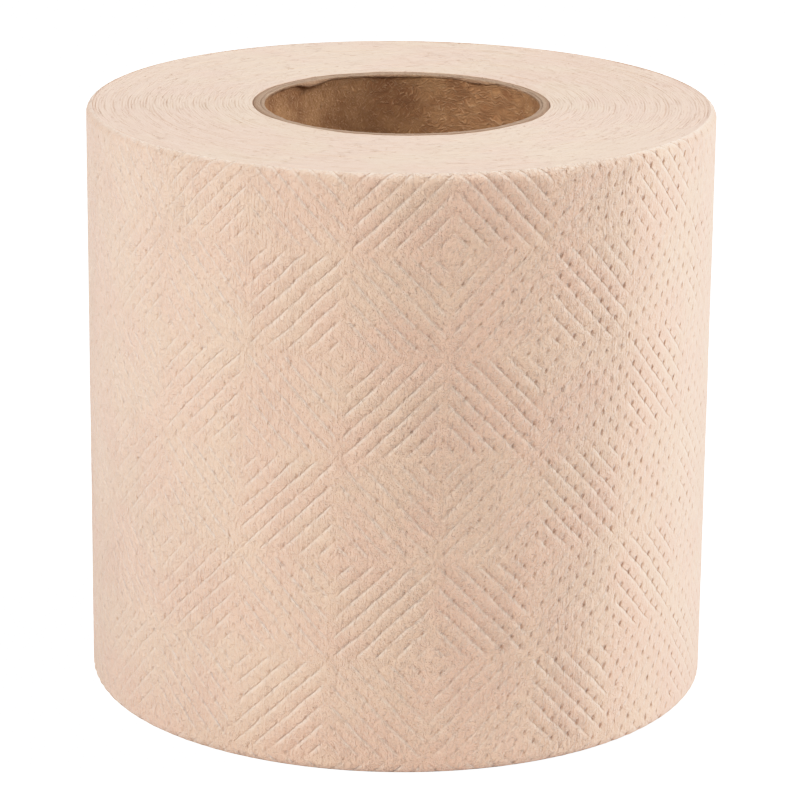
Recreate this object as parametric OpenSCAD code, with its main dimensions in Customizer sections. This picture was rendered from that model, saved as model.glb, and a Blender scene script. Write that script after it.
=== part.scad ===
// Embossed paper towel roll on a cardboard core, standing on one end.
// Millimetres, +Z up, the roll's axis on Z, and its lower face at Z = 0.
// The front is towards -Y.

/* [Roll] */
// Outer diameter over the embossed ribs
roll_d = 106; // [96:1:118]
// Height of the roll, which is the width the web is cut to
roll_h = 100; // [90:1:112]
// How far the wound edge rounds in at each end
edge_round = 1; // [0.6:0.1:1.6]

/* [Turns] */
// Bands of turns that can be told apart on each end face
turn_bands = 14; // [8:1:18]
// Depth of the line between two bands
turn_line_depth = 0.3; // [0.1:0.05:0.5]
// Width of the line between two bands
turn_line_w = 0.5; // [0.3:0.05:0.8]

/* [Embossing] */
// Diamonds side by side around the roll
diamonds_round = 10; // [8:1:11]
// Rows of diamonds up the roll
diamond_rows = 3; // [2:1:3]
// Ribs from the middle of a diamond out to its corner
diamond_ribs = 5; // [4:1:5]
// Height of a rib above the groove beside it
rib_h = 0.3; // [0.2:0.05:0.6]
// Lean of the diamond columns away from upright, in degrees
web_lean = 2.3; // [0:0.1:4]

/* [Free end] */
// Thickness of the web's free end, where it lies on the turn below
tail_t = 0.4; // [0.2:0.05:0.6]
// Place of the free end, in degrees round from the front
tail_at = 188; // [150:1:210]

/* [Core] */
// Outer diameter of the cardboard tube
core_d = 50; // [44:0.5:56]
// Wall of the tube, both plies together
core_wall = 1.7; // [1.2:0.1:2.4]
// Wall of the inner ply alone
inner_ply = 0.4; // [0.3:0.1:0.8]
// How far the inner ply ends short of the outer one
ply_setback = 0.3; // [0.1:0.1:0.8]

/* [Fit] */
// Clearance between the tube and the first turn wound on it
wind_gap = 0; // [0:0.05:0.2]

/* [Hidden] */

$fn = 96;

roll_r = roll_d / 2;
core_r = core_d / 2;
wind_r = core_r + wind_gap;
band_w = (roll_r - edge_round - wind_r) / turn_bands;
past = 1;                 // how far the outer skin runs past each end face before it is cut

// The embossing is drawn on a lattice. One hatch square is 2 ribs' pitches times
// diamond_ribs long, four hatch squares round a point make one diamond.
side = 2 * diamond_ribs;                      // lattice steps along a hatch square
steps_round = 2 * side * diamonds_round;      // lattice steps round the roll
steps_up = 2 * side * diamond_rows;           // lattice steps up the skin
first_row = 2;                                // lattice row of the lowest square edge
step_z = (roll_h + 2 * past) / steps_up;
step_a = 360 / steps_round;
lean_per_mm = tan(web_lean) / roll_r * 180 / PI;

// Each hatch square is bent round the roll at three upright fold lines.
folds = [0, round(side / 3), side - round(side / 3)];
cols = concat([for (q = [0 : 2 * diamonds_round - 1], f = folds) q * side + f], [steps_round]);
rows = concat([0, 1], [for (b = [first_row : side : steps_up - 2]) b], [steps_up - 1, steps_up]);
seam = len(cols) - 1;                         // the fold line on the free end's far side
row_base = len(cols) * (steps_up + 1);

function is_rim(b) = b == 0 || b == steps_up;

// The web sinks onto the turn below over the last diamond before the free end.
function settle(a) = tail_t * max(0, (a - steps_round + 2 * side) / (2 * side));

// Ribs lie on the odd lattice points and grooves on the even ones.
function skin_r(a, b) =
    is_rim(b) ? roll_r - rib_h - edge_round
              : roll_r - ((a + b + first_row) % 2 == 0 ? rib_h : 0) - settle(a);

function skin_z(b) = b * step_z - past;

function skin_angle(a, b) = tail_at - 90 + a * step_a + lean_per_mm * (skin_z(b) - roll_h / 2);

function skin_point(a, b) =
    let (r = skin_r(a, b), t = skin_angle(a, b)) [r * cos(t), r * sin(t), skin_z(b)];

// Number of a lattice point in the list of points: on a fold line, or on a square's edge.
function fold_of(u) = u == folds[0] ? 0 : u == folds[1] ? 1 : u == folds[2] ? 2 : -1;
function row_of(b) = b < first_row ? b
    : b >= steps_up - 1 ? len(rows) - 1 + b - steps_up : 2 + (b - first_row) / side;
function point_no(a, b) =
    a == steps_round ? (is_rim(b) ? b : seam * (steps_up + 1) + b)
    : fold_of(a % side) >= 0
        ? (3 * floor(a / side) + fold_of(a % side)) * (steps_up + 1) + b
        : row_base + row_of(b) * steps_round + a;

// One panel of parallel ribs and grooves, from fold line a0 to a1 and from row b0 to b1.
// up is true where the ribs climb to the right.
function low_end(c) = c <= 0 ? [0, -c] : [c, 0];
function high_end(c, w, n) = c + n <= w ? [c + n, n] : [w, w - c];
function at(p, a0, a1, b0, up) = point_no(up ? a0 + p[0] : a1 - p[0], b0 + p[1]);
function tri(p, q, r, a0, a1, b0, up) =
    let (i = at(p, a0, a1, b0, up), j = at(q, a0, a1, b0, up), k = at(r, a0, a1, b0, up))
    up ? [i, k, j] : [i, j, k];
function panel(a0, a1, b0, b1, up) =
    let (w = a1 - a0, n = b1 - b0) concat(
        [for (c = [-n : w - 2])
            tri(low_end(c), low_end(c + 1), high_end(c + 1, w, n), a0, a1, b0, up)],
        [for (c = [1 - n : w - 1])
            tri(low_end(c), high_end(c + 1, w, n), high_end(c, w, n), a0, a1, b0, up)]);

skin_points = concat(
    [for (a = cols, b = [0 : steps_up]) skin_point(a, b)],
    [for (b = rows, a = [0 : steps_round - 1]) skin_point(a, b)]);

skin_faces = concat(
    [for (s = [0 : seam - 1], m = [0 : len(rows) - 2],
          f = panel(cols[s], cols[s + 1], rows[m], rows[m + 1],
                    (floor(cols[s] / side) + ceil((rows[m + 1] - first_row) / side)) % 2 == 1)) f],
    // the small step down at the free end
    [for (b = [0 : steps_up - 2]) [point_no(0, b), point_no(steps_round, b + 1), point_no(0, b + 1)]],
    [for (b = [1 : steps_up - 1]) [point_no(0, b), point_no(steps_round, b), point_no(steps_round, b + 1)]],
    // the ends of the skin
    [[for (a = [0 : steps_round - 1]) point_no(a, 0)]],
    [[for (a = [steps_round - 1 : -1 : 0]) point_no(a, steps_up)]]);

// Outer shape of the wound web, ribbed all over
module embossed_skin() {
    polyhedron(points = skin_points, faces = skin_faces, convexity = 4);
}

// Section of the wound web: its bore, and the bands of turns on both end faces
module turns_section() {
    lines = [for (i = [1 : turn_bands - 1]) wind_r + i * band_w];
    polygon(concat(
        [[wind_r, 0]],
        [for (r = lines, p = [[-0.5, 0], [0, 1], [0.5, 0]])
            [r + p[0] * turn_line_w, p[1] * turn_line_depth]],
        [[roll_r + past, 0], [roll_r + past, roll_h]],
        [for (i = [len(lines) - 1 : -1 : 0], p = [[0.5, 0], [0, 1], [-0.5, 0]])
            [lines[i] + p[0] * turn_line_w, roll_h - p[1] * turn_line_depth]],
        [[wind_r, roll_h]]));
}

// The wound web, all its turns as one body
module paper_roll() {
    color([0.93, 0.86, 0.79])
    intersection() {
        rotate_extrude() turns_section();
        embossed_skin();
    }
}

// The cardboard tube, an inner ply wound inside an outer one
module core_tube() {
    bore_r = core_r - core_wall;
    color([0.60, 0.46, 0.33])
    difference() {
        cylinder(r = core_r, h = roll_h);
        translate([0, 0, -past]) cylinder(r = bore_r, h = roll_h + 2 * past);
        for (z = [-past, roll_h - ply_setback])
            translate([0, 0, z]) cylinder(r = bore_r + inner_ply, h = past + ply_setback);
    }
}

paper_roll();
core_tube();
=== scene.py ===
"""Bamboo paper towel roll: its look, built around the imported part.

The outer turns with their full quilting, the wound turns under them and the two plies of the
cardboard tube stand in for the part's plain solids. Formulas run in millimetres, and a point
becomes metres only where it is placed. Angles round the roll are counted from the front, which
is towards -Y, and grow towards +X.
"""

from __future__ import annotations

import logging
import math
from dataclasses import dataclass
from enum import Enum
from typing import Callable, Dict, List, Sequence, Tuple, Union

import bpy
import numpy as np
from mathutils import Matrix, Vector

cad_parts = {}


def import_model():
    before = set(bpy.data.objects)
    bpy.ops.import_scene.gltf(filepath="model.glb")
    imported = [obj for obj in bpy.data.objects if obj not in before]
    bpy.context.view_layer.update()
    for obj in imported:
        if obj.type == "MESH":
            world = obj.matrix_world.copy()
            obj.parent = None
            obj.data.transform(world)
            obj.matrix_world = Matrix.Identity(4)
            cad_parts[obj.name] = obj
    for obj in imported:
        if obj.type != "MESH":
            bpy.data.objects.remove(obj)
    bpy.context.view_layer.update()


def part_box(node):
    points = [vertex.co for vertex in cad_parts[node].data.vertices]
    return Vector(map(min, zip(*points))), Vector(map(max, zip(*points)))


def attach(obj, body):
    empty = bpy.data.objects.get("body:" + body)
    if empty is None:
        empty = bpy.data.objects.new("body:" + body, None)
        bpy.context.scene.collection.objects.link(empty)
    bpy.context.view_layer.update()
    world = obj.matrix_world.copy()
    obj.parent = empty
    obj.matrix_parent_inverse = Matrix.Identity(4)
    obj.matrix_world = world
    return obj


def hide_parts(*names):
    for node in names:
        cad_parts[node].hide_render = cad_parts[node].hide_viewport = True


MM = 0.001
COMBINED_CURVE = 3
MIX_COLOURS = slice(6, 8)
MIX_RESULT = 2
LOG = logging.getLogger("paper_roll")

Value = Union["Term", float]
Colour = Tuple[float, float, float]
Paint = Union["Term", Colour]
Section = List[Tuple[float, float, float]]


class Body(Enum):
    """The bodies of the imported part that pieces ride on."""

    ROOT = "root"


class Slot(Enum):
    """The record's material slots."""

    PAPER = "bamboo_paper"
    BOARD = "core_board"


class Node(Enum):
    """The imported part's nodes."""

    WEB = "paper_roll"
    TUBE = "core_tube"


# ---------------------------------------------------------------- formulas in node trees


def maths(operation: str, swapped: bool = False) -> Callable[..., Term]:
    """Makes a method of Term that does one maths operation.

    Args:
        operation: Name of the maths node's operation.
        swapped: Whether the term is the right-hand side.

    Returns:
        The method.
    """

    def method(self: Term, *others: Value) -> Term:
        """Adds the maths node for the term and the other values."""
        values = (*others, self) if swapped else (self, *others)
        node = add_node("ShaderNodeMath", *values)
        node.operation = operation
        return Term(node.outputs[0])

    return method


class Term:
    """A number or vector inside a node tree, so that a formula reads as plain arithmetic.

    Angles are in radians, size is the value without its sign, root is the square root, and
    at_least and at_most keep the value above or below another one.
    """

    def __init__(self, socket: bpy.types.NodeSocket) -> None:
        """Wraps one output socket of a node."""
        self.socket = socket
        self.tree = socket.id_data

    __add__ = maths("ADD")
    __radd__ = maths("ADD", swapped=True)
    __sub__ = maths("SUBTRACT")
    __rsub__ = maths("SUBTRACT", swapped=True)
    __mul__ = maths("MULTIPLY")
    __rmul__ = maths("MULTIPLY", swapped=True)
    __truediv__ = maths("DIVIDE")
    floor = maths("FLOOR")
    ceil = maths("CEIL")
    nearest = maths("ROUND")
    fraction = maths("FRACT")
    size = maths("ABSOLUTE")
    root = maths("SQRT")
    sin = maths("SINE")
    cos = maths("COSINE")
    at_least = maths("MAXIMUM")
    at_most = maths("MINIMUM")

    def from_whole(self) -> Term:
        """Signed distance from the nearest whole number, from -0.5 to 0.5."""
        return self - self.nearest()

    def is_odd(self) -> Term:
        """1 for an odd whole number, 0 for an even one."""
        return 2.0 * (self / 2.0).fraction()

    def squared(self) -> Term:
        """The value times itself."""
        return self * self

    def between(self, low: Value, high: Value) -> Term:
        """The value kept from low to high."""
        return self.at_least(low).at_most(high)

    def ease(self, low: float, high: float) -> Term:
        """A soft step from 0 where the value is low to 1 where it is high."""
        node = add_node("ShaderNodeMapRange", self, low, high)
        node.interpolation_type = "SMOOTHSTEP"
        return Term(node.outputs["Result"])


def feed(socket: bpy.types.NodeSocket, value: object) -> None:
    """Links a term to a node's input, or sets a constant on it.

    Args:
        socket: Input to feed.
        value: A Term or a constant.
    """
    if isinstance(value, Term):
        value.tree.links.new(value.socket, socket)
    else:
        socket.default_value = value


def add_node(kind: str, *values: Value) -> bpy.types.Node:
    """Adds a node to the tree that the terms among its values belong to.

    Args:
        kind: Type of the node.
        values: Its first inputs, in order, with at least one Term among them.

    Returns:
        The node.
    """
    tree = next(value.tree for value in values if isinstance(value, Term))
    node = tree.nodes.new(kind)
    for socket, value in zip(node.inputs, values):
        feed(socket, value)
    return node


def vector(x: Value, y: Value, z: Value) -> Term:
    """Joins three numbers into a vector."""
    return Term(add_node("ShaderNodeCombineXYZ", x, y, z).outputs[0])


def split(whole: Term) -> Tuple[Term, Term, Term]:
    """Takes a vector apart into its three numbers."""
    return tuple(Term(socket) for socket in add_node("ShaderNodeSeparateXYZ", whole).outputs)


def mottle(where: Term, scale: float, detail: float = 2.0, roughness: float = 0.5) -> Term:
    """Soft noise from 0 to 1.

    Args:
        where: Vector that it is read at.
        scale: Features a unit of that vector.
        detail: Octaves added on top.
        roughness: Strength of each further octave.

    Returns:
        The noise.
    """
    node = add_node("ShaderNodeTexNoise", where)
    node.inputs["Scale"].default_value = scale
    node.inputs["Detail"].default_value = detail
    node.inputs["Roughness"].default_value = roughness
    return Term(node.outputs[0])


def lottery(where: Term) -> Term:
    """A different number from 0 to 1 for each place."""
    return Term(add_node("ShaderNodeTexWhiteNoise", where).outputs[0])


def seen_directly(tree: bpy.types.NodeTree) -> Term:
    """1 where something is looked at directly, 0 where it only lights the scene."""
    return Term(tree.nodes.new("ShaderNodeLightPath").outputs["Is Camera Ray"])


class ShapeTree:
    """A Geometry Nodes tree with named inputs for its sizes, grown into plain meshes."""

    def __init__(self, name: str) -> None:
        """Starts an empty tree with one geometry output.

        Args:
            name: Name of the tree.
        """
        self.tree = bpy.data.node_groups.new(name, "GeometryNodeTree")
        self.tree.is_modifier = True
        self.tree.interface.new_socket(
            "Geometry", in_out="OUTPUT", socket_type="NodeSocketGeometry"
        )
        self.entry = self.tree.nodes.new("NodeGroupInput")
        self.exit = self.tree.nodes.new("NodeGroupOutput")
        self.identifiers: Dict[str, str] = {}

    def asks(self, name: str, kind: str = "Float") -> Term:
        """Adds a named input.

        Args:
            name: What the input is called.
            kind: Float, Int or Material.

        Returns:
            The input's value inside the tree.
        """
        item = self.tree.interface.new_socket(
            name, in_out="INPUT", socket_type="NodeSocket" + kind
        )
        self.identifiers[name] = item.identifier
        return Term(self.entry.outputs[name])

    def node(self, kind: str, feeds: Dict[str, object], **choices: str) -> Term:
        """Adds a geometry node.

        Args:
            kind: The node's type, without its GeometryNode prefix.
            feeds: Value for each named input.
            choices: The node's own options.

        Returns:
            Its first output.
        """
        made = self.tree.nodes.new("GeometryNode" + kind)
        for name, choice in choices.items():
            setattr(made, name, choice)
        for name, value in feeds.items():
            feed(made.inputs[name], value)
        return Term(made.outputs[0])

    def line(self, points: Term) -> Term:
        """A straight curve with that many points, ready to carry attributes."""
        start = self.node("CurvePrimitiveLine", {})
        return self.node("ResampleCurve", {"Curve": start, "Count": points}, mode="COUNT")

    def index(self) -> Term:
        """Number of a point in its curve or mesh."""
        return self.node("InputIndex", {})

    def store(self, geometry: Term, name: str, value: Term) -> Term:
        """Writes a number on every point under a name."""
        feeds = {"Geometry": geometry, "Name": name, "Value": value}
        return self.node("StoreNamedAttribute", feeds, data_type="FLOAT", domain="POINT")

    def read(self, name: str) -> Term:
        """Reads the number that was written under a name."""
        return self.node("InputNamedAttribute", {"Name": name}, data_type="FLOAT")

    def finish(self, geometry: Term, material: Term, flat: Term) -> None:
        """Ends the tree: faces outwards, shading, no instances, and the material.

        Args:
            geometry: The finished shape.
            material: The material input.
            flat: Above 0 on the hidden faces that are shaded flat, so that the ones beside
                them keep their own shading up to the edge.
        """
        geometry = self.node("FlipFaces", {"Mesh": geometry})
        for selected, smooth in ((True, True), (flat, False)):
            feeds = {"Geometry": geometry, "Selection": selected, "Shade Smooth": smooth}
            geometry = self.node("SetShadeSmooth", feeds)
        real = self.node("RealizeInstances", {"Geometry": geometry})
        dressed = self.node("SetMaterial", {"Geometry": real, "Material": material})
        feed(self.exit.inputs[0], dressed)

    def grow(self, name: str, answers: Dict[str, object]) -> bpy.types.Object:
        """Runs the tree and keeps its result as a plain mesh.

        Args:
            name: Name of the piece.
            answers: Value for each named input.

        Returns:
            The new object, at the origin, without modifiers.
        """
        seedling = add_object(name + "_growing", bpy.data.meshes.new(name + "_growing"))
        modifier = seedling.modifiers.new("shape", "NODES")
        modifier.node_group = self.tree
        for asked, answer in answers.items():
            modifier[self.identifiers[asked]] = answer
        graph = bpy.context.evaluated_depsgraph_get()
        mesh = bpy.data.meshes.new_from_object(
            seedling.evaluated_get(graph), preserve_all_data_layers=True, depsgraph=graph
        )
        seedling.modifiers.remove(modifier)
        bpy.data.objects.remove(seedling)
        mesh.name = name
        return add_object(name, mesh)


def add_object(name: str, data: bpy.types.ID) -> bpy.types.Object:
    """Puts data into the scene as an object at the origin."""
    made = bpy.data.objects.new(name, data)
    bpy.context.scene.collection.objects.link(made)
    return made


def settle_piece(piece: bpy.types.Object, node: Node) -> None:
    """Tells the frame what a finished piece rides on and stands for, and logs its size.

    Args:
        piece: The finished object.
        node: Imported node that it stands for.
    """
    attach(piece, Body.ROOT.value)
    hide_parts(node.value)
    mesh = piece.data
    triangles = sum(len(face.vertices) - 2 for face in mesh.polygons)
    LOG.info("%s: %d points, %d triangles", piece.name, len(mesh.vertices), triangles)


# ---------------------------------------------------------------- sizes


@dataclass(frozen=True)
class RollSizes:
    """Sizes of the roll, in millimetres and degrees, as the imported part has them."""

    height: float
    radius: float
    tube_radius: float
    tube_wall: float = 1.7
    inner_ply: float = 0.4
    ply_setback: float = 0.3
    free_end: float = 0.4
    free_end_at: float = 188.0

    @classmethod
    def from_frame(cls) -> RollSizes:
        """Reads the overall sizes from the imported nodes."""
        low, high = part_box(Node.WEB.value)
        tube_low, tube_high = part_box(Node.TUBE.value)
        return cls(
            height=(high.z - low.z) / MM,
            radius=(high.x - low.x) / 2 / MM,
            tube_radius=(tube_high.x - tube_low.x) / 2 / MM,
        )


@dataclass(frozen=True)
class Quilting:
    """The web's embossing: hatch squares of parallel grooves whose direction alternates.

    Column numbers run round the web from its free end, row numbers run up it, and both count
    lattice steps. Groove lines pass through every lattice point whose two numbers add up to an
    even one, and each of those points has a pit. The lattice runs a little past both end faces.
    """

    square: int = 10
    columns: int = 200
    rows: int = 60
    first_row: int = 2
    past: float = 1.0
    lean: float = 2.3
    rib_height: float = 0.3
    front_column: float = 100.0
    deepest_column: float = 120.0
    shallow_pits: float = 0.5
    flattened: float = 0.6
    drawn: float = 0.35
    drawn_columns: Tuple[float, float] = (96.0, 105.0)
    border: Tuple[float, float] = (0.012, 0.075)

    def step_up(self, sizes: RollSizes) -> float:
        """Height of one lattice step."""
        return (sizes.height + 2 * self.past) / self.rows

    def step_round(self, sizes: RollSizes) -> float:
        """Length of one lattice step along the web."""
        return 2 * math.pi * sizes.radius / self.columns

    def relief(self, column: Term, row: Term) -> Relief:
        """Works out the embossing at a place on the web.

        Args:
            column: Column number, with its fraction.
            row: Row number, with its fraction.

        Returns:
            Where the place lies between groove lines, pits and borders.
        """
        square_column = column / self.square
        square_row = (row - self.first_row) / self.square
        slope = 1.0 - 2.0 * (square_column.floor() + square_row.ceil()).is_odd()
        turned = row * slope
        across = ((column + turned) / 2.0).from_whole()
        along = ((column - turned) / 2.0).from_whole()
        border = square_column.from_whole().size().at_most(square_row.from_whole().size())
        middle = vector((column + 0.5).floor(), (row + 0.5).floor(), 0.0)
        return Relief(
            slope=slope,
            above=across * slope,
            right=across + along,
            up=(across - along) * slope,
            inside=border.ease(*self.border),
            middle=middle,
        )

    def pit_share(self, column: Term) -> Term:
        """Share of the full pit depth: the pins bit deepest to the right of the front."""
        turned = (column - self.deepest_column) * (2 * math.pi / self.columns)
        bite = turned.cos().at_least(0.0).squared()
        peak = bite.squared() * bite * bite.squared()
        return peak * (1.0 - self.shallow_pits) + self.shallow_pits

    def groove_share(self, column: Term, slope: Term) -> Term:
        """Share of the full groove depth.

        The roll is pressed flatter at its sides, and right of the front winding has drawn one of
        the two hatch directions flatter.

        Args:
            column: Column number, with its fraction.
            slope: The hatch direction there, -1 where it climbs to the right.

        Returns:
            The share, from 0 to 1.
        """
        turned = (column - self.front_column) * (2 * math.pi / self.columns)
        drawn = column.ease(*self.drawn_columns) * (1.0 - slope) * (self.drawn / 2.0)
        return (1.0 - turned.sin().squared() * self.flattened) * (1.0 - drawn)


@dataclass(frozen=True)
class Relief:
    """Where one place lies in the embossing.

    The slope is -1 in squares whose grooves climb to the right and 1 in the others. The distance
    above the groove line is a share of the spacing between lines. The distances right of and up
    from the nearest pit are in lattice steps. Inside is 0 on the borders between squares and 1
    within them, and middle is the nearest lattice point. Depths run from 0, none, to 1.
    """

    slope: Term
    above: Term
    right: Term
    up: Term
    inside: Term
    middle: Term

    def groove(self, reach: float) -> Term:
        """Depth of a soft groove that reaches that far to each side of its line."""
        return (1.0 - self.above.size().ease(0.0, reach)) * self.inside

    def ridge(self, upper: float, lower: float) -> Term:
        """Height of a sharp ridge whose straight walls reach that far above and below its line."""
        share = (self.above / upper).at_least(self.above / -lower)
        return (1.0 - share).at_least(0.0) * self.inside

    def furrow(self, below: float, upper: float, lower: float) -> Term:
        """Depth of the furrow along the ridge, that far below its line and with those reaches."""
        share = ((self.above + below) / upper).at_least((self.above + below) / -lower)
        return (1.0 - share).at_least(0.0) * self.inside

    def pillow(self) -> Term:
        """Drop of the soft band between two grooves, from its crown."""
        return (1.0 - 2.0 * self.above.size()).squared() * self.inside

    def pit(self, width: float, height: float, slant: float = 0.0) -> Term:
        """Depth of an upright oval pit with those half sizes, leaning that much to the right."""
        reach = ((self.right - self.up * slant) / width).squared() + (self.up / height).squared()
        return (1.0 - reach).at_least(0.0)


# ---------------------------------------------------------------- finishes


def tone(shown: Colour) -> Tuple[float, float, float, float]:
    """A colour given as display values from 0 to 255, as the shader wants it."""
    linear = [((c / 255 + 0.055) / 1.055) ** 2.4 if c > 10 else c / 3294.6 for c in shown]
    return (*linear, 1.0)


class Dressing:
    """A material under construction: its tree, its shader and the coordinates it reads."""

    def __init__(self, name: str) -> None:
        """Starts a material with one Principled shader.

        Args:
            name: Name of the material.
        """
        self.material = bpy.data.materials.new(name)
        self.material.use_nodes = True
        self.tree = self.material.node_tree
        self.shader = self.tree.nodes["Principled BSDF"]

    def attribute(self, name: str) -> Term:
        """Reads a number that the mesh carries on its points."""
        node = self.tree.nodes.new("ShaderNodeAttribute")
        node.attribute_name = name
        return Term(node.outputs["Fac"])

    def place(self) -> Tuple[Term, Term, Term]:
        """Object coordinates, in millimetres."""
        node = self.tree.nodes.new("ShaderNodeTexCoord")
        return tuple(part / MM for part in split(Term(node.outputs["Object"])))

    def blend(self, amount: Value, under: Paint, over: Paint) -> Term:
        """Mixes two colours.

        Args:
            amount: 0 for the first, 1 for the second.
            under: First colour, a Term or display values.
            over: Second colour, the same.

        Returns:
            The mixed colour.
        """
        node = self.tree.nodes.new("ShaderNodeMix")
        node.data_type = "RGBA"
        feed(node.inputs[0], amount)
        for socket, paint in zip(node.inputs[MIX_COLOURS], (under, over)):
            feed(socket, tone(paint) if isinstance(paint, tuple) else paint)
        return Term(node.outputs[MIX_RESULT])

    def finish(
        self, colour: Term, height: Term, roughness: Value, **fixed: float
    ) -> bpy.types.Material:
        """Joins colour, bump and gloss to the shader.

        Args:
            colour: Base colour.
            height: Bump height, in millimetres.
            roughness: Roughness.
            fixed: Constants for the shader's own sockets, with _ for a space in the name.

        Returns:
            The finished material.
        """
        bump = self.tree.nodes.new("ShaderNodeBump")
        bump.inputs["Strength"].default_value = 1.0
        bump.inputs["Distance"].default_value = MM
        feed(bump.inputs["Height"], height)
        feed(self.shader.inputs["Normal"], Term(bump.outputs[0]))
        feed(self.shader.inputs["Base Color"], colour)
        feed(self.shader.inputs["Roughness"], roughness)
        for name, value in fixed.items():
            self.shader.inputs[name.replace("_", " ")].default_value = value
        return self.material


@dataclass(frozen=True)
class EmbossedPaper:
    """Soft unbleached bamboo tissue, creped, with pin pits and loose fibres.

    Heights and depths are in millimetres. A tint is the share of the colour laid over the paper.
    """

    quilting: Quilting
    sizes: RollSizes
    base: Colour = (230, 186, 160)
    warm: Colour = (230, 181, 157)
    cream: Colour = (230, 190, 162)
    pale: Colour = (232, 199, 176)
    painted_highlight: Colour = (246, 222, 203)
    dark_tone_and_pit_shade: Colour = (180, 140, 115)
    hairline_height: float = 0.06
    banded_hairline_height: float = 0.18
    crinkle_height: float = 0.34
    crumple_height: float = 0.42
    grit_height: float = 0.12
    thread_height: float = 0.10
    crepe_height: float = 0.10
    prick_depth: float = 0.10
    furrow_depth: float = 0.11
    ridge_height: float = 0.17
    pit_depth: float = 0.30
    crinkle_tint: float = 0.3
    thread_tint: float = 0.28
    furrow_highlight_tint: float = 0.4
    prick_tint: float = 0.3
    pit_shade_tint: float = 0.85
    edge_tint: float = 0.6
    cut_tint: float = 0.7

    def fibres(self, run: Term, rise: Term, salt: float) -> Term:
        """Loose fibres: thin threads that follow the level lines of a stretched noise.

        Args:
            run: Length along the web, in millimetres.
            rise: Height up the web, in millimetres.
            salt: Number that picks the set of threads.

        Returns:
            1 on a thread, 0 beside it.
        """
        field = mottle(vector(run, rise, salt), 1.0, 2.0, 0.6) - 0.5
        breaks = mottle(vector(run, rise, salt + 40.0), 1.7, 1.0).ease(0.42, 0.6)
        return (1.0 - field.size() * 16.0).at_least(0.0) * breaks

    def coarseness(self, column: Term) -> Term:
        """Strength of the grain: it grows up to the front and dies away to the right of it."""
        return 0.86 + column.ease(84.0, 101.0) * 0.44 - column.ease(111.0, 126.0) * 0.82

    def make(self) -> bpy.types.Material:
        """Builds the material.

        Returns:
            The material, which reads web_column, web_row and curl from the mesh.
        """
        dress = Dressing("embossed_bamboo_paper")
        column = dress.attribute("web_column")
        row = dress.attribute("web_row")
        curl = dress.attribute("curl").size()
        run = column * self.quilting.step_round(self.sizes)
        rise = row * self.quilting.step_up(self.sizes)
        flat = vector(run, rise, 0.0)

        # The embossing.
        relief = self.quilting.relief(column, row)
        uneven = (mottle(flat, 1.9, 2.0) * 1.8 - 0.2).at_least(0.0)
        bite = (lottery(relief.middle) * 0.6 + 0.6) * uneven * self.quilting.pit_share(column)
        pit = relief.pit(0.25, 0.42, 0.22) * bite
        worn = mottle(vector(run, rise, 15.0), 0.45, 2.0).ease(0.25, 0.6) * 0.9 + 0.4
        worn = worn * self.quilting.groove_share(column, relief.slope)
        ragged = mottle(vector(run, rise, 71.0), 1.5, 2.0).ease(0.3, 0.7) * 0.6 + 0.7
        furrow = relief.furrow(0.12, 0.10, 0.22) * worn * ragged
        ridge = relief.ridge(0.27, 0.12) * worn * (1.0 - pit * 1.5).at_least(0.0)

        # The paper's own grain.
        crepe_band = mottle(vector(run * 0.08, rise * 0.02, 3.0), 1.0, 1.0).ease(0.35, 0.65)
        hairlines = mottle(vector(run * 2.6, rise * 0.16, 0.0), 1.0, 2.0) - 0.5
        crinkle = mottle(vector(run * 1.5, rise * 0.95, 5.0), 1.0, 3.0, 0.65) - 0.5
        crumple = mottle(vector(run, rise, 29.0), 0.6, 2.0, 0.6) - 0.5
        grit = mottle(flat, 3.2, 2.0, 0.6) - 0.5
        pricks = mottle(vector(run * 1.1, rise * 0.8, 61.0), 1.7, 1.0).ease(0.66, 0.76)
        upright = self.fibres(run * 1.3, rise * 0.5, 11.0)
        slanted = self.fibres(run * 0.8 + rise * 0.5, rise * 0.8 - run * 0.4, 23.0)
        leaning = self.fibres(run * 0.9 - rise * 0.45, rise * 0.7 + run * 0.5, 37.0)
        threads = upright + slanted + leaning
        crepe = self.fibres(run * 2.1, rise * 0.14, 51.0) * crepe_band
        coarse = self.coarseness(column)

        grain = (
            hairlines * (self.hairline_height + self.banded_hairline_height * crepe_band)
            + crinkle * self.crinkle_height
            + crumple * self.crumple_height
            + grit * self.grit_height
            + threads * self.thread_height
            + crepe * self.crepe_height
            - pricks * self.prick_depth
        )
        height = (
            coarse * grain
            - furrow * self.furrow_depth
            + ridge * self.ridge_height
            - pit * self.pit_depth
        )
        patches = mottle(flat, 0.09, 1.0).ease(0.35, 0.65)
        fringe = curl.ease(0.2, 1.2) * (crumple + 0.5).ease(0.3, 0.7)
        colour = dress.blend(patches, self.warm, self.cream)
        colour = dress.blend(0.5, colour, self.base)
        # Over the paper's own tones lie painted shade in the pits and a painted highlight along each
        # furrow.
        for amount, paint in (
            ((crinkle + 0.5).ease(0.62, 0.9) * self.crinkle_tint, self.dark_tone_and_pit_shade),
            (threads * coarse * self.thread_tint, self.pale),
            # Painted highlight: a pale line along each furrow, standing in for light on its wall.
            (furrow * self.furrow_highlight_tint, self.painted_highlight),
            (pricks * coarse * self.prick_tint, self.dark_tone_and_pit_shade),
            # Painted shade darkens each pit where it dents in.
            (pit.ease(0.1, 0.7) * self.pit_shade_tint, self.dark_tone_and_pit_shade),
            (fringe * self.edge_tint, self.pale),
            (curl.ease(1.1, 1.5) * self.cut_tint, self.pale),
        ):
            colour = dress.blend(amount, colour, paint)
        return dress.finish(
            colour, height, 0.9, Specular_IOR_Level=0.25, Sheen_Weight=0.4, Sheen_Roughness=0.5
        )


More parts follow.
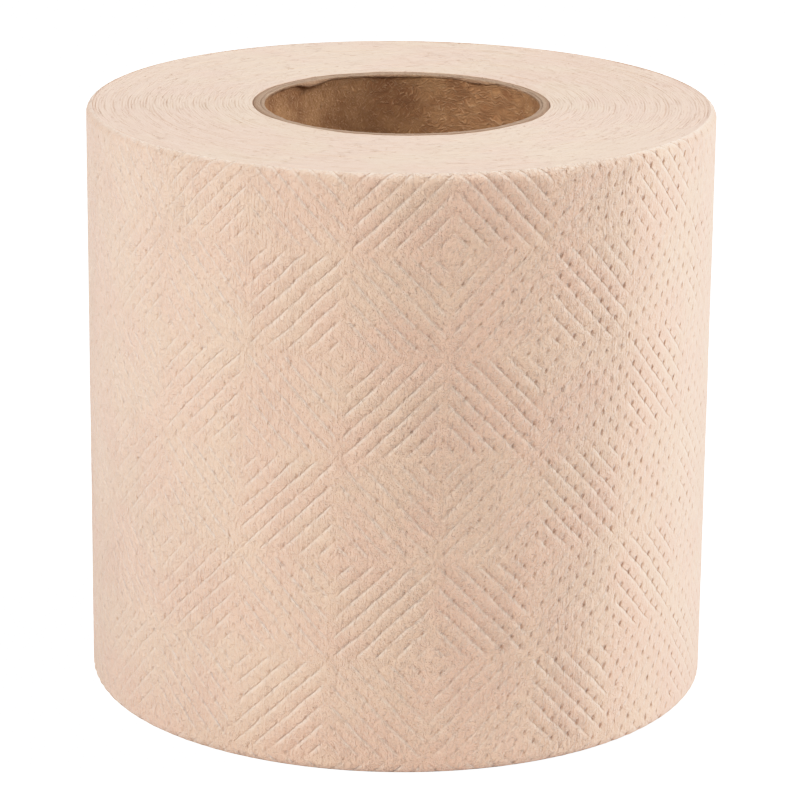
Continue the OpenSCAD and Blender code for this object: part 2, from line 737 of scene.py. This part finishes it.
@dataclass(frozen=True)
class CutPaperEdge:
    """The turns' cut edges on the end faces: pale, with faint short arcs along the turns."""

    base: Colour = (210, 175, 152)
    cream: Colour = (210, 179, 153)
    pink: Colour = (210, 172, 151)
    shade: Colour = (186, 146, 121)
    thread_height: float = 0.16
    fuzz_height: float = 0.16
    dash_depth: float = 0.14
    dash_shade_tint: float = 0.35
    side_tint: float = 0.6

    def make(self) -> bpy.types.Material:
        """Builds the material.

        Returns:
            The material, which reads Object coordinates.
        """
        dress = Dressing("cut_paper_edge")
        x, y, z = dress.place()
        radius = (x.squared() + y.squared()).root().at_least(1.0)
        round_x = x / radius
        round_y = y / radius
        arcs = mottle(vector(round_x * 24.0, round_y * 24.0, radius * 2.8), 1.0, 2.0)
        threads = mottle(vector(round_x * 8.0, round_y * 8.0, radius * 4.0), 1.0, 1.0)
        clouds = mottle(vector(x, y, z * 0.3), 0.08, 1.0)
        fuzz = mottle(vector(x, y, z), 2.5, 4.0, 0.7)
        dashes = arcs.ease(0.61, 0.7)
        height = (
            (threads - 0.5) * self.thread_height
            + (fuzz - 0.5) * self.fuzz_height
            - dashes * self.dash_depth
        )
        colour = dress.blend(clouds.ease(0.4, 0.6), self.pink, self.cream)
        colour = dress.blend(0.5, colour, self.base)
        colour = dress.blend(x.size().ease(26.0, 50.0) * self.side_tint, colour, self.pink)
        # Painted shade in the short dented dashes along the turns.
        colour = dress.blend(dashes * self.dash_shade_tint, colour, self.shade)
        return dress.finish(
            colour, height, 0.9, Specular_IOR_Level=0.25, Sheen_Weight=0.25, Sheen_Roughness=0.6
        )


@dataclass(frozen=True)
class CoreBoard:
    """Brown kraft board with matted fibres, greyer and paler where its edge is cut."""

    outside: float
    kraft: Colour = (177, 133, 91)
    dark: Colour = (142, 98, 63)
    light: Colour = (205, 164, 124)
    cut: Colour = (143, 116, 95)
    cut_pale: Colour = (168, 143, 122)
    along: float = 0.55
    across: float = 2.7
    fibre_height: float = 0.55
    speck_height: float = 0.12
    fibre_tint: float = 0.7
    speck_tint: float = 0.5

    def make(self) -> bpy.types.Material:
        """Builds the material.

        Returns:
            The material, which reads Object coordinates and cut_edge from the mesh.
        """
        dress = Dressing("core_kraft_board")
        x, y, z = dress.place()
        cut_edge = dress.attribute("cut_edge")
        place = vector(x, y, z)
        patches = mottle(place, 0.16, 3.0, 0.6)
        sway = mottle(place, 0.5, 1.0) - 0.5
        slant = x + y + z * 1.2 + sway * 3.0
        cross = x + y - z * 1.2 - sway * 3.0
        one_way = mottle(vector(slant * self.along, cross * self.across, 0.0), 1.0, 3.0, 0.6)
        other_way = mottle(vector(slant * self.across, cross * self.along, 7.0), 1.0, 3.0, 0.6)
        fibres = one_way.at_least(other_way)
        specks = mottle(place, 2.2, 2.0)
        radius = (x.squared() + y.squared()).root()
        paler = radius.ease(self.outside - 0.4, self.outside - 0.8)
        colour = dress.blend(patches.ease(0.3, 0.7), self.dark, self.kraft)
        colour = dress.blend(fibres.ease(0.55, 0.7) * self.fibre_tint, colour, self.light)
        colour = dress.blend((1.0 - specks).ease(0.6, 0.75) * self.speck_tint, colour, self.dark)
        edge = dress.blend(paler * (specks * 0.8 + 0.2), self.cut, self.cut_pale)
        colour = dress.blend(cut_edge, colour, edge)
        height = (fibres - 0.5) * self.fibre_height + (specks - 0.5) * self.speck_height
        return dress.finish(colour, height, 0.78, Specular_IOR_Level=0.3)


@dataclass(frozen=True)
class PaleFloor:
    """Plain white studio floor that keeps a faint contact shadow."""

    paint: float = 0.85
    glow: float = 1.63

    def make(self) -> bpy.types.Material:
        """Builds the material.

        Returns:
            The material, which glows only where it is looked at directly.
        """
        material = bpy.data.materials.new("pale_floor")
        material.use_nodes = True
        tree = material.node_tree
        shader = tree.nodes["Principled BSDF"]
        shader.inputs["Base Color"].default_value = (self.paint, self.paint, self.paint, 1.0)
        shader.inputs["Roughness"].default_value = 0.9
        shader.inputs["Specular IOR Level"].default_value = 0.0
        shader.inputs["Emission Color"].default_value = (1.0, 1.0, 1.0, 1.0)
        feed(shader.inputs["Emission Strength"], seen_directly(tree) * self.glow)
        return material


# ---------------------------------------------------------------- sub-assemblies


@dataclass
class OuterTurns:
    """The outermost turns as embossed sheets that meet edge to edge round the roll."""

    sizes: RollSizes
    quilting: Quilting
    cells_a_step: int = 4
    sheet_borders: Tuple[int, ...] = (0, 48, 148, 200)
    low_row: float = 1.25
    edge_steps: int = 4
    back_points: int = 2
    groove_reach: float = 0.24
    groove_share: float = 0.62
    weakest_groove: float = 0.65
    groove_range: float = 0.7
    pit_size: Tuple[float, float] = (0.27, 0.38)
    pit_depth: float = 0.13
    weakest_pit: float = 0.4
    pit_range: float = 0.8
    pillow_drop: float = 0.05
    swell: float = 0.12
    slip: float = 0.5
    fray: float = 0.5

    def edge_radius(self) -> float:
        """Radius that the sheets round in with at both ends, in millimetres."""
        return self.low_row * self.quilting.step_up(self.sizes) - self.quilting.past

    def pressed_in(self, column: Term, row: Term) -> Term:
        """How deep the embossing and the web's swells lie at a place, in millimetres."""
        relief = self.quilting.relief(column, row)
        vigour = self.weakest_groove + self.groove_range * mottle(vector(column, row, 4.0), 0.28, 1.0)
        vigour = vigour * self.quilting.groove_share(column, relief.slope)
        bite = self.weakest_pit + self.pit_range * lottery(relief.middle)
        bite = self.quilting.pit_share(column) * bite
        return (
            relief.groove(self.groove_reach) * self.quilting.rib_height * vigour * self.groove_share
            + relief.pillow() * self.pillow_drop
            + relief.pit(*self.pit_size) * self.pit_depth * bite
            + self.swell * mottle(vector(column, row, 2.0), 0.12, 2.0)
        )

    def tree(self) -> ShapeTree:
        """Builds the tree that forms one sheet from its lattice.

        Returns:
            The tree, with the sizes as its inputs.
        """
        shape = ShapeTree("embossed_outer_turn")
        first = shape.asks("First column")
        last = shape.asks("Last column")
        cells = shape.asks("Cells round", "Int")
        rows = shape.asks("Rows", "Int")
        fine = shape.asks("Cells a step")
        low_row = shape.asks("Lowest row")
        bend = shape.asks("Edge steps")
        radius = shape.asks("Roll radius")
        height = shape.asks("Roll height")
        step_up = shape.asks("Step up")
        past = shape.asks("Lattice past the edge")
        step_turn = shape.asks("Turn a step")
        lean = shape.asks("Lean a millimetre")
        end_at = shape.asks("Free end at")
        end_step = shape.asks("Free end step")
        paper = shape.asks("Paper", "Material")

        # The profile goes up the skin, curls in over both edges and closes down the back.
        path = shape.line(cells + 1.0)
        path = shape.store(path, "web_column", first + (last - first) * shape.index() / cells)
        point = shape.index()
        skin_end = bend + rows - 1.0
        back = (point - skin_end - bend).at_least(0.0)
        top_curl = ((point - skin_end) / bend).between(0.0, 1.0)
        low_curl = ((bend - point) / bend).between(0.0, 1.0)
        curl = top_curl - low_curl - back * (2.0 / self.back_points)
        skin_row = low_row + (point - bend).between(0.0, rows - 1.0) / fine
        profile = shape.line(rows + 2.0 * bend + float(self.back_points))
        profile = shape.node("SetSplineCyclic", {"Geometry": profile, "Cyclic": True})
        profile = shape.store(profile, "web_row", skin_row)
        profile = shape.store(profile, "curl", curl * (math.pi / 2))
        profile = shape.store(profile, "back", back.at_most(1.0))
        feeds = {"Curve": path, "Profile Curve": profile, "Fill Caps": True}
        mesh = shape.node("CurveToMesh", feeds)

        edge_radius = low_row * step_up - past
        turn_in = shape.read("curl")
        outside = (1.0 - shape.read("back")) * turn_in.cos()
        mesh = shape.store(mesh, "web_row", shape.read("web_row") + turn_in * edge_radius / step_up)
        column = shape.read("web_column")
        row = shape.read("web_row")
        frayed = self.fray * mottle(vector(column * 1.1, turn_in, 6.0), 1.0, 3.0, 0.6)
        frayed = frayed * turn_in.sin().size() * outside
        diamond = 2.0 * self.quilting.square
        near_end = ((column - (self.quilting.columns - diamond)) / diamond).at_least(0.0)
        sunk = self.pressed_in(column, row) + frayed + near_end * end_step
        reach = radius - edge_radius + outside * (edge_radius - sunk)

        slip_round = self.slip * (mottle(vector(column, row, 0.0), 0.3, 2.0) - 0.5)
        slip_up = self.slip * (mottle(vector(column, row, 9.0), 0.3, 2.0) - 0.5)
        from_edge = (row - self.low_row).at_most(self.quilting.rows - self.low_row - row)
        slip_up = slip_up * (from_edge * 0.3).between(0.0, 1.0)
        lift = turn_in.sin() * (edge_radius - frayed)
        up = (row + slip_up) * step_up - past - turn_in * edge_radius + lift
        angle = end_at + (column + slip_round) * step_turn + lean * (up - height / 2.0)
        place = vector(reach * angle.sin() * MM, reach * angle.cos() * -MM, up * MM)
        mesh = shape.node("SetPosition", {"Geometry": mesh, "Position": place})
        shape.finish(mesh, paper, shape.read("back"))
        return shape

    def build(self, paper: bpy.types.Material) -> List[bpy.types.Object]:
        """Forms the sheets and dresses them.

        Args:
            paper: Material of the embossed paper.

        Returns:
            The sheets, in order round the roll.
        """
        shape = self.tree()
        quilting, sizes = self.quilting, self.sizes
        low_row, high_row = self.low_row, quilting.rows - self.low_row
        answers = {
            "Rows": round((high_row - low_row) * self.cells_a_step) + 1,
            "Cells a step": float(self.cells_a_step),
            "Lowest row": low_row,
            "Edge steps": float(self.edge_steps),
            "Roll radius": sizes.radius,
            "Roll height": sizes.height,
            "Step up": quilting.step_up(sizes),
            "Lattice past the edge": quilting.past,
            "Turn a step": 2 * math.pi / quilting.columns,
            "Lean a millimetre": math.tan(math.radians(quilting.lean)) / sizes.radius,
            "Free end at": math.radians(sizes.free_end_at),
            "Free end step": sizes.free_end,
            "Paper": paper,
        }
        sheets = []
        for number, (first, last) in enumerate(zip(self.sheet_borders, self.sheet_borders[1:]), 1):
            answers["First column"] = float(first)
            answers["Last column"] = float(last)
            answers["Cells round"] = (last - first) * self.cells_a_step
            sheet = shape.grow(f"outer_turns_{number}", answers)
            settle_piece(sheet, Node.WEB)
            sheets.append(sheet)
        return sheets


@dataclass
class WoundTurns:
    """Everything under the outer turns, with each single turn showing on both end faces."""

    sizes: RollSizes
    outer_radius: float
    turns: int = 54
    segments: int = 290
    shoulder: float = 0.12
    line_depth: float = 0.16
    unevenness: float = 0.3
    wobble: float = 0.25
    outer_gap: float = 0.02
    tube_gap: float = 0.04

    def tree(self) -> ShapeTree:
        """Builds the tree that sweeps the section of turns round the roll's axis.

        Returns:
            The tree, with the sizes as its inputs.
        """
        shape = ShapeTree("wound_turns")
        turns = shape.asks("Turns")
        segments = shape.asks("Segments", "Int")
        inner = shape.asks("Inner radius")
        outer = shape.asks("Outer radius")
        height = shape.asks("Roll height")
        paper = shape.asks("Paper", "Material")

        # The section has three points a turn, at its line and at both its shoulders. It runs
        # inwards over the upper face and back outwards under the lower one.
        path = shape.node("CurvePrimitiveCircle", {"Resolution": segments}, mode="RADIUS")
        path = shape.store(path, "turn_angle", shape.index() * (2 * math.pi) / segments)
        rings = turns * 3.0 + 1.0
        point = shape.index()
        is_under = (point - rings + 1.0).between(0.0, 1.0)
        ring = point + is_under * (2.0 * rings - 1.0 - 2.0 * point)
        turn = (ring / 3.0).floor()
        part = ring - turn * 3.0
        offset = part * (self.shoulder + (part - 1.0) * (0.5 - 1.5 * self.shoulder))
        profile = shape.line(rings * 2.0)
        profile = shape.node("SetSplineCyclic", {"Geometry": profile, "Cyclic": True})
        profile = shape.store(profile, "turn_place", turn + offset)
        line = (1.0 - part.at_most(1.0)) * turn.at_most(1.0)
        profile = shape.store(profile, "turn_line", line)
        profile = shape.store(profile, "under", is_under)
        feeds = {"Curve": path, "Profile Curve": profile, "Fill Caps": False}
        mesh = shape.node("CurveToMesh", feeds)

        angle = shape.read("turn_angle")
        place = shape.read("turn_place")
        under = shape.read("under")
        share = place / turns
        round_x, round_y = angle.sin(), angle.cos()
        freedom = (share * (1.0 - share) * 4.0).root()

        def uneven(around: float, inwards: Term, octaves: float) -> Term:
            """Noise that changes so fast round the roll and inwards, the same where it closes."""
            return mottle(vector(round_x * around, round_y * around, inwards), 1.0, octaves)

        drift = uneven(1.5, share * 3.0 + under * 5.0, 2.0)
        reach = outer - share * (outer - inner) + freedom * self.wobble * 2.0 * (drift - 0.5)
        bands = uneven(2.2, place * 0.35 + under * 50.0, 2.0)
        depth = uneven(5.0, place * 1.7 + under * 70.0, 1.0)
        drop = (
            bands.ease(0.3, 0.8) * self.unevenness
            + shape.read("turn_line") * self.line_depth * (0.25 + 1.2 * depth.ease(0.4, 0.8))
        )
        up = height - drop + under * (2.0 * drop - height)
        spot = vector(reach * round_x * MM, reach * round_y * -MM, up * MM)
        mesh = shape.node("SetPosition", {"Geometry": mesh, "Position": spot})
        # Only the walls between the two faces have an average that is neither 0 nor 1.
        shape.finish(mesh, paper, under * (1.0 - under))
        return shape

    def build(self, paper: bpy.types.Material) -> bpy.types.Object:
        """Forms the wound turns and dresses them.

        Args:
            paper: Material of the turns' cut edges.

        Returns:
            The finished piece.
        """
        answers = {
            "Turns": float(self.turns),
            "Segments": self.segments,
            "Inner radius": self.sizes.tube_radius + self.tube_gap,
            "Outer radius": self.outer_radius - self.outer_gap,
            "Roll height": self.sizes.height,
            "Paper": paper,
        }
        piece = self.tree().grow("wound_turns", answers)
        settle_piece(piece, Node.WEB)
        return piece


@dataclass(frozen=True)
class Lip:
    """A stretch of the tube's inner ply that has torn free and curls into the bore."""

    start: float
    peak: float
    end: float
    length: float

    def at(self, angle: float) -> float:
        """How far the ply curls in at an angle, in millimetres."""
        low, high = min(self.start, self.end), max(self.start, self.end)
        if not low < angle < high:
            return 0.0
        edge = self.start if (angle - self.peak) * (self.start - self.peak) > 0 else self.end
        share = 1.0 - abs(angle - self.peak) / abs(edge - self.peak)
        return self.length * math.sin(share * math.pi / 2) ** 1.2


@dataclass
class CoreTube:
    """The cardboard tube: an outer ply with a cut rim, and a loose inner ply inside it."""

    sizes: RollSizes
    segments: int = 360
    wall_rows: int = 22
    seed: int = 11
    cover: float = 0.02
    cut_back: float = 0.06
    cut_wander: float = 0.05
    lip_wander: float = 0.22
    lift: float = 0.28
    lift_at: float = 262.0
    wave: float = 0.05
    lips: Tuple[Lip, ...] = (
        Lip(232.0, 224.0, 212.0, 0.85),
        Lip(198.0, 188.0, 160.0, 0.3),
        Lip(158.0, 146.0, 136.0, 0.5),
    )

    def jitter(self, softness: int, salt: int) -> np.ndarray:
        """Random numbers from -1 to 1 round the tube, smoothed over some neighbours.

        Args:
            softness: Neighbours on each side that are averaged.
            salt: Number added to the seed.

        Returns:
            One number for each angle.
        """
        raw = np.random.RandomState(self.seed + salt).uniform(-1, 1, self.segments)
        window = np.hanning(2 * softness + 3)[1:-1]
        padded = np.concatenate([raw[-softness:], raw, raw[:softness]])
        soft = np.convolve(padded, window / window.sum(), mode="valid")
        return soft / np.abs(soft).max()

    def outer_section(self, index: int, ragged: np.ndarray) -> Section:
        """Section of the outer ply at one angle.

        Args:
            index: Number of the angle.
            ragged: Unevenness of the cut at each angle.

        Returns:
            Closed loop of radius, height and how far the place is cut board.
        """
        sizes = self.sizes
        outside = sizes.tube_radius - self.cover
        inside = sizes.tube_radius - sizes.tube_wall + sizes.inner_ply
        top = sizes.height - self.cut_back - self.cut_wander * abs(ragged[index])
        rim = [
            (outside, -0.35),
            (outside - 0.08, -0.08),
            (outside - 0.3, 0.0),
            (outside * 0.5 + inside * 0.5, -0.02 + 0.03 * ragged[index]),
            (inside + 0.28, 0.02),
            (inside + 0.1, 0.0),
            (inside, -0.14),
        ]
        loop = [(r, top + z, 1.0) for r, z in rim]
        loop += [(r, sizes.height - top - z, 1.0) for r, z in reversed(rim)]
        return loop

    def inner_section(self, index: int, ragged: np.ndarray) -> Section:
        """Section of the inner ply at one angle, with any torn lip.

        Args:
            index: Number of the angle.
            ragged: Unevenness of the tear at each angle.

        Returns:
            Closed loop of radius, height and how far the place is cut board.
        """
        sizes = self.sizes
        angle = 360.0 * index / self.segments
        lip = sum(each.at(angle) for each in self.lips)
        lip *= 1.0 + self.lip_wander * ragged[index]
        bore = sizes.tube_radius - sizes.tube_wall
        outside = bore + sizes.inner_ply
        lifted = self.lift * max(0.0, math.cos(math.radians(angle - self.lift_at))) ** 3
        top = sizes.height - sizes.ply_setback * (0.55 + 0.25 * ragged[index])
        raised = min(1.0, lip / 0.3)
        top += (sizes.height - 0.1 - top) * raised
        edge = bore - lifted
        tip_r = edge - 0.62 * lip
        tip_z = top - 0.35 - 0.72 * lip
        wall_top = top - 0.62 - 0.45 * lip
        loop = [
            (outside, top - 0.05, 1.0),
            ((outside + edge) / 2, top, 1.0),
            (edge, top - 0.06, 1.0),
            (edge * 0.7 + tip_r * 0.3 - 0.02, top - 0.12 - 0.12 * lip, 0.6),
            (edge * 0.3 + tip_r * 0.7 - 0.03, top - 0.22 - 0.38 * lip, 0.4),
            (tip_r, tip_z, 0.4),
            (tip_r + 0.10 * raised, tip_z - 0.08, 0.3),
            (edge * 0.35 + tip_r * 0.65 + 0.16 * raised, top - 0.42 - 0.50 * lip, 0.0),
            (bore - 0.02, top - 0.52 - 0.22 * lip, 0.0),
            (bore, wall_top, 0.0),
        ]
        for row in range(1, self.wall_rows + 1):
            share = row / self.wall_rows
            wave = self.wave * math.sin(share * 9 + angle / 40) * (1 - share)
            loop.append((bore + wave, wall_top * (1 - share) + 0.9 * share, 0.0))
        low = sizes.ply_setback
        loop += [(bore + 0.02, low + 0.2, 0.4), (bore + 0.12, low, 1.0), (outside, low + 0.05, 1.0)]
        return loop

    def ring_mesh(self, name: str, loops: Sequence[Section]) -> bpy.types.Object:
        """Joins a section at each angle into one closed ring.

        Args:
            name: Name of the piece.
            loops: One closed section for each angle, all with as many points.

        Returns:
            The object, which carries cut_edge on its points.
        """
        table = np.array(loops)
        count, around = table.shape[1], len(loops)
        angles = np.arange(around)[:, None] * (2 * math.pi / around)
        radii, heights, cut_board = table[..., 0], table[..., 1], table[..., 2]
        points = np.stack([radii * np.sin(angles), -radii * np.cos(angles), heights], -1)
        points = points.reshape(-1, 3) * MM
        faces = []
        for i in range(around):
            here, there = i * count, (i + 1) % around * count
            for j in range(count):
                k = (j + 1) % count
                faces.append((here + j, there + j, there + k, here + k))
        mesh = bpy.data.meshes.new(name)
        mesh.from_pydata(points.tolist(), [], faces)
        cut = mesh.attributes.new("cut_edge", "FLOAT", "POINT")
        cut.data.foreach_set("value", cut_board.ravel())
        mesh.shade_smooth()
        return add_object(name, mesh)

    def build(self, board: bpy.types.Material) -> List[bpy.types.Object]:
        """Forms both plies and dresses them.

        Args:
            board: Material of the board.

        Returns:
            The outer and the inner ply.
        """
        cut = self.jitter(softness=2, salt=0)
        tear = self.jitter(softness=1, salt=1)
        angles = range(self.segments)
        pieces = [
            self.ring_mesh("tube_outer_ply", [self.outer_section(i, cut) for i in angles]),
            self.ring_mesh("tube_inner_ply", [self.inner_section(i, tear) for i in angles]),
        ]
        for piece in pieces:
            piece.data.materials.append(board)
            settle_piece(piece, Node.TUBE)
        return pieces


@dataclass(frozen=True)
class Softbox:
    """One large studio light, aimed at the roll."""

    name: str
    azimuth: float
    elevation: float
    distance: float
    width: float
    height: float
    power: float

    def place(self, target: Vector) -> None:
        """Hangs the light and aims it.

        Args:
            target: Point that it faces.
        """
        data = bpy.data.lights.new(self.name, "AREA")
        data.shape = "RECTANGLE"
        data.size = self.width
        data.size_y = self.height
        data.energy = self.power
        lamp = add_object(self.name, data)
        turn, climb = math.radians(self.azimuth), math.radians(self.elevation)
        level = math.cos(climb)
        away = Vector((math.sin(turn) * level, -math.cos(turn) * level, math.sin(climb)))
        lamp.location = target + away * self.distance
        lamp.rotation_euler = (-away).to_track_quat("-Z", "Y").to_euler()


@dataclass(frozen=True)
class Shoulder:
    """A film-like response: straight up to the bend, then easing over to white."""

    bend: float = 0.35
    white: float = 2.0
    stops: Tuple[float, ...] = (0.08, 0.175, 0.25, 0.35, 0.48, 0.62, 0.78)

    def at(self, light: float) -> float:
        """The displayed value of an amount of light."""
        if light <= self.bend:
            return light
        share = (light - self.bend) / (self.white - self.bend)
        power = (self.white - self.bend) / (1.0 - self.bend)
        return self.bend + (1.0 - self.bend) * (1.0 - (1.0 - share) ** power)

    def apply(self) -> None:
        """Sets the scene's tone curve."""
        view = bpy.context.scene.view_settings
        view.view_transform = "Standard"
        view.use_curve_mapping = True
        mapping = view.curve_mapping
        mapping.white_level = (self.white,) * 3
        curve = mapping.curves[COMBINED_CURVE]
        first, last = curve.points[0], curve.points[1]
        first.location = (0.0, 0.0)
        last.location = (1.0, 1.0)
        for stop in self.stops:
            curve.points.new(stop, self.at(stop * self.white))
        mapping.update()


@dataclass
class Studio:
    """White room, softboxes from both upper sides, and the camera."""

    sizes: RollSizes
    lens: float = 170.27
    sideways: float = 0.0059
    distance: float = 0.6236
    camera_height: float = 0.2359
    pitch: float = 16.80
    turn: float = -0.518
    roll: float = 0.569
    room_white: float = 2.1
    boxes: Tuple[Softbox, ...] = (
        Softbox("softbox_left", -68.0, 42.0, 1.1, 0.7, 0.7, 14.2),
        Softbox("softbox_right", 100.0, 42.0, 1.1, 0.7, 0.7, 18.8),
        Softbox("softbox_front", 9.0, 30.0, 1.1, 1.0, 1.0, 3.8),
    )

    def hang_lights(self) -> None:
        """Places the softboxes and lights the room."""
        middle = Vector((0.0, 0.0, self.sizes.height / 2 * MM))
        for box in self.boxes:
            box.place(middle)
        world = bpy.data.worlds.new("white_room")
        world.use_nodes = True
        tree = world.node_tree
        background = tree.nodes["Background"]
        background.inputs["Color"].default_value = (1.0, 1.0, 1.0, 1.0)
        feed(background.inputs["Strength"], seen_directly(tree) * self.room_white)
        bpy.context.scene.world = world

    def lay_floor(self) -> None:
        """Lays the floor that the roll stands on."""
        bpy.ops.mesh.primitive_plane_add(size=8.0)
        floor = bpy.context.object
        floor.name = "floor"
        floor.data.materials.append(PaleFloor().make())

    def set_camera(self) -> None:
        """Sets the camera at its height and distance, looking down at the roll."""
        data = bpy.data.cameras.new("camera")
        data.lens = self.lens
        data.sensor_width = 36.0
        data.clip_start = 0.01
        camera = add_object("camera", data)
        down, tilt = math.radians(self.pitch), math.radians(self.roll)
        turn = math.radians(self.turn)
        level = math.cos(down)
        ahead = Vector((math.sin(turn) * level, math.cos(turn) * level, -math.sin(down)))
        right = Vector((math.cos(turn), -math.sin(turn), 0.0))
        up = right.cross(ahead)
        leaned_right = math.cos(tilt) * right + math.sin(tilt) * up
        leaned_up = math.cos(tilt) * up - math.sin(tilt) * right
        facing = Matrix((leaned_right, leaned_up, -ahead)).transposed()
        place = Matrix.Translation((self.sideways, -self.distance, self.camera_height))
        camera.matrix_world = place @ facing.to_4x4()
        bpy.context.scene.camera = camera

    def build(self) -> None:
        """Sets up the whole studio."""
        self.set_camera()
        self.hang_lights()
        self.lay_floor()
        Shoulder().apply()


def main() -> None:
    """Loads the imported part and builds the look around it."""
    logging.basicConfig(level=logging.INFO, format="%(name)s: %(message)s")
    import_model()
    sizes = RollSizes.from_frame()
    quilting = Quilting()
    LOG.info("roll of %.1f mm, %.1f mm across", sizes.height, 2 * sizes.radius)

    Studio(sizes).build()
    outer = OuterTurns(sizes, quilting)
    outer.build(EmbossedPaper(quilting, sizes).make())
    WoundTurns(sizes, sizes.radius - outer.edge_radius()).build(CutPaperEdge().make())
    CoreTube(sizes).build(CoreBoard(sizes.tube_radius).make())


if __name__ == "__main__":
    main()
